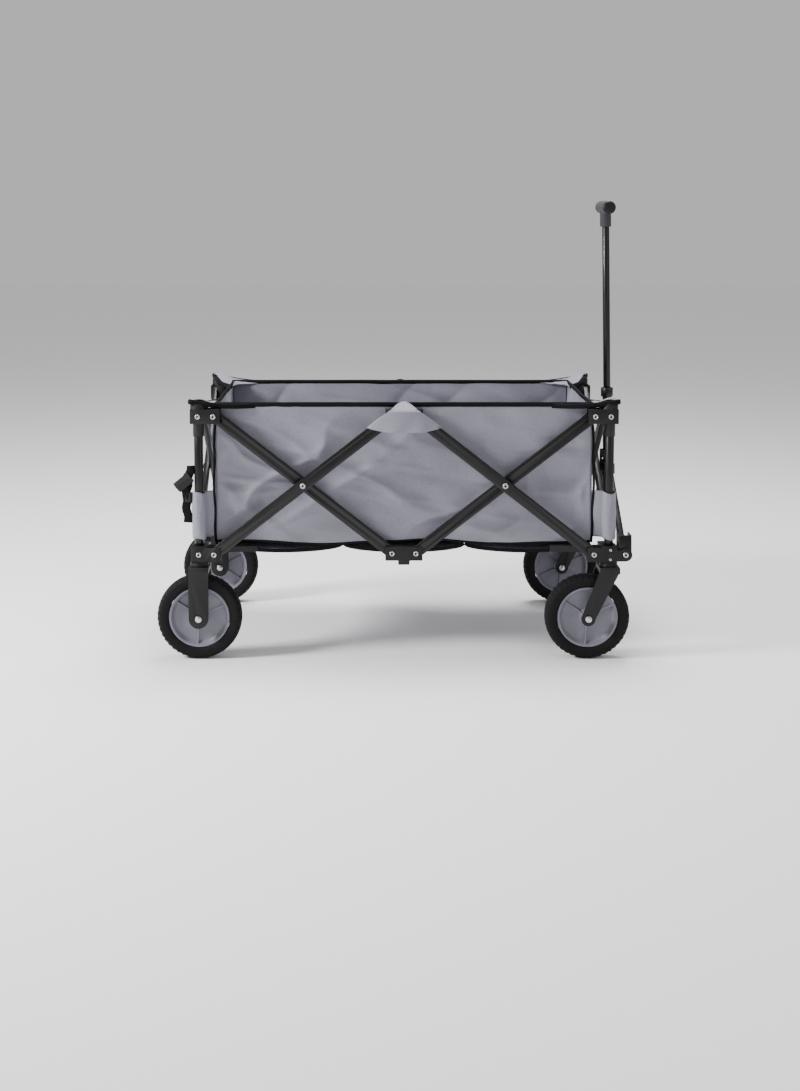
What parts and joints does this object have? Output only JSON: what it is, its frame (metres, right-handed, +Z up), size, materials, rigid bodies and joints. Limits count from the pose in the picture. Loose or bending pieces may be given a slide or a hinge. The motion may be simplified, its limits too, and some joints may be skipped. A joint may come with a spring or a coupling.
{
  "type": "folding wagon",
  "caption": "Folding fabric utility wagon on a black scissor frame, with four small wheels and a telescoping pull handle.",
  "frame": {"origin": "floor level, at the middle of the overall length and width", "axes": "+X to the front, where the pull handle is; +Y to the left side; +Z up"},
  "size_m": [0.9948, 0.5116, 0.9599],
  "materials": {
    "black_steel": "semi-gloss black powder coat",
    "black_plastic": "moulded black nylon",
    "grey_plastic": "moulded grey wheel rim",
    "rubber_tread": "solid black tyre",
    "bolt_steel": "zinc plated bolt",
    "soft_grip": "soft dark grip",
    "grey_fabric": "woven grey polyester",
    "mat_fabric": "woven grey polyester over padding"
  },
  "bodies": {
    "hub_bottom_right_body": {"hub_bottom_right": "black_plastic"},
    "hub_top_right_body": {"hub_top_right": "black_plastic", "basket": "grey_fabric", "floor_mat_rear": "mat_fabric", "floor_mat_front": "mat_fabric"},
    "hub_bottom_left_body": {"hub_bottom_left": "black_plastic"},
    "hub_top_left_body": {"hub_top_left": "black_plastic"},
    "inner_rear_right": {"inner_bar_rear_right": "black_steel"},
    "outer_rear_right": {"outer_bar_rear_right": "black_steel"},
    "lower_rear_right": {"bottom_bracket_rear_right": "black_plastic", "lower_post_rear_right": "black_steel", "fork_rear_right": "black_plastic"},
    "upper_rear_right": {"upper_post_rear_right": "black_steel", "top_bracket_rear_right": "black_plastic"},
    "wheel_rear_right": {"rim_rear_right": "grey_plastic", "tyre_rear_right": "rubber_tread", "axle_rear_right": "bolt_steel"},
    "inner_rear_left": {"inner_bar_rear_left": "black_steel"},
    "outer_rear_left": {"outer_bar_rear_left": "black_steel"},
    "lower_rear_left": {"bottom_bracket_rear_left": "black_plastic", "lower_post_rear_left": "black_steel", "fork_rear_left": "black_plastic"},
    "upper_rear_left": {"upper_post_rear_left": "black_steel", "top_bracket_rear_left": "black_plastic"},
    "wheel_rear_left": {"rim_rear_left": "grey_plastic", "tyre_rear_left": "rubber_tread", "axle_rear_left": "bolt_steel"},
    "end_outer_rear": {"end_bar_outer_rear": "black_steel"},
    "end_inner_rear": {"end_bar_inner_rear": "black_steel"},
    "inner_front_right": {"inner_bar_front_right": "black_steel"},
    "outer_front_right": {"outer_bar_front_right": "black_steel"},
    "lower_front_right": {"bottom_bracket_front_right": "black_plastic", "lower_post_front_right": "black_steel"},
    "upper_front_right": {"upper_post_front_right": "black_steel", "top_bracket_front_right": "black_plastic"},
    "caster_front_right": {"fork_front_right": "black_plastic"},
    "wheel_front_right": {"rim_front_right": "grey_plastic", "tyre_front_right": "rubber_tread", "axle_front_right": "bolt_steel"},
    "inner_front_left": {"inner_bar_front_left": "black_steel"},
    "outer_front_left": {"outer_bar_front_left": "black_steel"},
    "lower_front_left": {"bottom_bracket_front_left": "black_plastic", "lower_post_front_left": "black_steel"},
    "upper_front_left": {"upper_post_front_left": "black_steel", "top_bracket_front_left": "black_plastic"},
    "caster_front_left": {"fork_front_left": "black_plastic"},
    "wheel_front_left": {"rim_front_left": "grey_plastic", "tyre_front_left": "rubber_tread", "axle_front_left": "bolt_steel"},
    "end_outer_front": {"end_bar_outer_front": "black_steel"},
    "end_inner_front": {"end_bar_inner_front": "black_steel"},
    "foot_right": {"handle_foot_right": "black_steel"},
    "arm_right": {"handle_arm_right": "black_steel"},
    "foot_left": {"handle_foot_left": "black_steel"},
    "arm_left": {"handle_arm_left": "black_steel"},
    "head": {"handle_head": "black_plastic", "handle_outer_tube": "black_steel"},
    "telescope": {"handle_inner_tube": "black_steel", "handle_grip": "soft_grip"},
    "clip": {"handle_clip": "black_plastic"}
  },
  "joints": [
    {"name": "fold", "type": "hinge", "parent": "hub_bottom_right_body", "child": "inner_rear_right", "pos_m": [-0.0045, -0.21597, 0.222], "axis": [0, 1, 0], "range_deg": [0, 38], "deforming": ["basket", "floor_mat_rear", "floor_mat_front"]},
    {"name": "inner_front_right_turn", "type": "hinge", "parent": "hub_bottom_right_body", "child": "inner_front_right", "pos_m": [0.0455, -0.21597, 0.222], "axis": [0, 1, 0], "range_deg": [-38, 0]},
    {"name": "cross_rear_right", "type": "hinge", "parent": "inner_rear_right", "child": "outer_rear_right", "pos_m": [-0.19047, -0.22197, 0.3673], "axis": [0, 1, 0], "range_deg": [-76, 0]},
    {"name": "upper_rear_right_level", "type": "hinge", "parent": "inner_rear_right", "child": "upper_rear_right", "pos_m": [-0.37644, -0.21597, 0.51259], "axis": [0, 1, 0], "range_deg": [-38, 0]},
    {"name": "lower_rear_right_level", "type": "hinge", "parent": "outer_rear_right", "child": "lower_rear_right", "pos_m": [-0.37644, -0.22997, 0.222], "axis": [0, 1, 0], "range_deg": [0, 38]},
    {"name": "cross_front_right", "type": "hinge", "parent": "inner_front_right", "child": "outer_front_right", "pos_m": [0.23147, -0.22197, 0.3673], "axis": [0, 1, 0], "range_deg": [0, 76]},
    {"name": "upper_front_right_level", "type": "hinge", "parent": "inner_front_right", "child": "upper_front_right", "pos_m": [0.41744, -0.21597, 0.51259], "axis": [0, 1, 0], "range_deg": [0, 38]},
    {"name": "lower_front_right_level", "type": "hinge", "parent": "outer_front_right", "child": "lower_front_right", "pos_m": [0.41744, -0.22997, 0.222], "axis": [0, 1, 0], "range_deg": [-38, 0]},
    {"name": "top_hub_right_level", "type": "hinge", "parent": "outer_rear_right", "child": "hub_top_right_body", "pos_m": [-0.0045, -0.22997, 0.51259], "axis": [0, 1, 0], "range_deg": [0, 38]},
    {"name": "end_outer_rear_turn", "type": "hinge", "parent": "lower_rear_right", "child": "end_outer_rear", "pos_m": [-0.41544, -0.18597, 0.222], "axis": [1, 0, 0], "range_deg": [0, 38]},
    {"name": "end_cross_rear", "type": "hinge", "parent": "end_outer_rear", "child": "end_inner_rear", "pos_m": [-0.40844, 0, 0.3673], "axis": [1, 0, 0], "range_deg": [-76, 0]},
    {"name": "lower_rear_left_level", "type": "hinge", "parent": "end_inner_rear", "child": "lower_rear_left", "pos_m": [-0.40144, 0.18597, 0.222], "axis": [1, 0, 0], "range_deg": [0, 38]},
    {"name": "upper_rear_left_level", "type": "hinge", "parent": "end_outer_rear", "child": "upper_rear_left", "pos_m": [-0.41544, 0.18597, 0.51259], "axis": [1, 0, 0], "range_deg": [-38, 0]},
    {"name": "outer_rear_left_turn", "type": "hinge", "parent": "lower_rear_left", "child": "outer_rear_left", "pos_m": [-0.37644, 0.22997, 0.222], "axis": [0, 1, 0], "range_deg": [-38, 0]},
    {"name": "cross_rear_left", "type": "hinge", "parent": "outer_rear_left", "child": "inner_rear_left", "pos_m": [-0.19047, 0.22197, 0.3673], "axis": [0, 1, 0], "range_deg": [0, 76]},
    {"name": "end_outer_front_turn", "type": "hinge", "parent": "lower_front_right", "child": "end_outer_front", "pos_m": [0.45644, -0.18597, 0.222], "axis": [1, 0, 0], "range_deg": [0, 38]},
    {"name": "end_cross_front", "type": "hinge", "parent": "end_outer_front", "child": "end_inner_front", "pos_m": [0.44944, 0, 0.3673], "axis": [1, 0, 0], "range_deg": [-76, 0]},
    {"name": "lower_front_left_level", "type": "hinge", "parent": "end_inner_front", "child": "lower_front_left", "pos_m": [0.44244, 0.18597, 0.222], "axis": [1, 0, 0], "range_deg": [0, 38]},
    {"name": "upper_front_left_level", "type": "hinge", "parent": "end_outer_front", "child": "upper_front_left", "pos_m": [0.45644, 0.18597, 0.51259], "axis": [1, 0, 0], "range_deg": [-38, 0]},
    {"name": "outer_front_left_turn", "type": "hinge", "parent": "lower_front_left", "child": "outer_front_left", "pos_m": [0.41744, 0.22997, 0.222], "axis": [0, 1, 0], "range_deg": [0, 38]},
    {"name": "cross_front_left", "type": "hinge", "parent": "outer_front_left", "child": "inner_front_left", "pos_m": [0.23147, 0.22197, 0.3673], "axis": [0, 1, 0], "range_deg": [-76, 0]},
    {"name": "hub_bottom_left_level", "type": "hinge", "parent": "inner_rear_left", "child": "hub_bottom_left_body", "pos_m": [-0.0045, 0.21597, 0.222], "axis": [0, 1, 0], "range_deg": [-38, 0]},
    {"name": "hub_top_left_level", "type": "hinge", "parent": "outer_rear_left", "child": "hub_top_left_body", "pos_m": [-0.0045, 0.22997, 0.51259], "axis": [0, 1, 0], "range_deg": [0, 38]},
    {"name": "clip_level", "type": "hinge", "parent": "end_outer_front", "child": "clip", "pos_m": [0.45644, 0, 0.3673], "axis": [1, 0, 0], "range_deg": [-38, 0]},
    {"name": "handle_tilt", "type": "hinge", "parent": "lower_front_right", "child": "foot_right", "pos_m": [0.48344, -0.23397, 0.222], "axis": [0, 1, 0], "range_deg": [0, 92]},
    {"name": "arm_right_turn", "type": "hinge", "parent": "foot_right", "child": "arm_right", "pos_m": [0.48344, -0.20797, 0.222], "axis": [0.9998, 0, 0.0192], "range_deg": [0, 38]},
    {"name": "head_right_level", "type": "hinge", "parent": "arm_right", "child": "head", "pos_m": [0.48065, -0.022, 0.36727], "axis": [0.9998, 0, 0.0192], "range_deg": [-38, 0]},
    {"name": "arm_left_turn", "type": "hinge", "parent": "head", "child": "arm_left", "pos_m": [0.48065, 0.022, 0.36727], "axis": [0.9998, 0, 0.0192], "range_deg": [-38, 0]},
    {"name": "foot_left_level", "type": "hinge", "parent": "arm_left", "child": "foot_left", "pos_m": [0.48344, 0.20797, 0.222], "axis": [0.9998, 0, 0.0192], "range_deg": [0, 38]},
    {"name": "handle_telescope", "type": "slide", "parent": "head", "child": "telescope", "axis": [0.0192, 0, -0.9998], "range_m": [0, 0.22]},
    {"name": "caster_right_swivel", "type": "hinge", "parent": "lower_front_right", "child": "caster_front_right", "pos_m": [0.44944, -0.22197, 0.2], "axis": [0, 0, 1], "continuous": true},
    {"name": "caster_left_swivel", "type": "hinge", "parent": "lower_front_left", "child": "caster_front_left", "pos_m": [0.44944, 0.22197, 0.2], "axis": [0, 0, 1], "continuous": true},
    {"name": "wheel_rear_right_spin", "type": "hinge", "parent": "lower_rear_right", "child": "wheel_rear_right", "pos_m": [-0.40844, -0.22197, 0.089], "axis": [0, 1, 0], "continuous": true},
    {"name": "wheel_rear_left_spin", "type": "hinge", "parent": "lower_rear_left", "child": "wheel_rear_left", "pos_m": [-0.40844, 0.22197, 0.089], "axis": [0, 1, 0], "continuous": true},
    {"name": "wheel_front_right_spin", "type": "hinge", "parent": "caster_front_right", "child": "wheel_front_right", "pos_m": [0.40544, -0.22197, 0.089], "axis": [0, 1, 0], "continuous": true},
    {"name": "wheel_front_left_spin", "type": "hinge", "parent": "caster_front_left", "child": "wheel_front_left", "pos_m": [0.40544, 0.22197, 0.089], "axis": [0, 1, 0], "continuous": true}
  ],
  "couplings": [
    {"joint": "inner_front_right_turn", "follows": "fold", "ratio": -1},
    {"joint": "cross_rear_right", "follows": "fold", "ratio": -2},
    {"joint": "upper_rear_right_level", "follows": "fold", "ratio": -1},
    {"joint": "lower_rear_right_level", "follows": "fold", "ratio": 1},
    {"joint": "cross_front_right", "follows": "fold", "ratio": 2},
    {"joint": "upper_front_right_level", "follows": "fold", "ratio": 1},
    {"joint": "lower_front_right_level", "follows": "fold", "ratio": -1},
    {"joint": "top_hub_right_level", "follows": "fold", "ratio": 1},
    {"joint": "end_outer_rear_turn", "follows": "fold", "ratio": 1},
    {"joint": "end_cross_rear", "follows": "fold", "ratio": -2},
    {"joint": "lower_rear_left_level", "follows": "fold", "ratio": 1},
    {"joint": "upper_rear_left_level", "follows": "fold", "ratio": -1},
    {"joint": "outer_rear_left_turn", "follows": "fold", "ratio": -1},
    {"joint": "cross_rear_left", "follows": "fold", "ratio": 2},
    {"joint": "end_outer_front_turn", "follows": "fold", "ratio": 1},
    {"joint": "end_cross_front", "follows": "fold", "ratio": -2},
    {"joint": "lower_front_left_level", "follows": "fold", "ratio": 1},
    {"joint": "upper_front_left_level", "follows": "fold", "ratio": -1},
    {"joint": "outer_front_left_turn", "follows": "fold", "ratio": 1},
    {"joint": "cross_front_left", "follows": "fold", "ratio": -2},
    {"joint": "hub_bottom_left_level", "follows": "fold", "ratio": -1},
    {"joint": "hub_top_left_level", "follows": "fold", "ratio": 1},
    {"joint": "clip_level", "follows": "fold", "ratio": -1},
    {"joint": "arm_right_turn", "follows": "fold", "ratio": 1},
    {"joint": "head_right_level", "follows": "fold", "ratio": -1},
    {"joint": "arm_left_turn", "follows": "fold", "ratio": -1},
    {"joint": "foot_left_level", "follows": "fold", "ratio": 1}
  ]
}
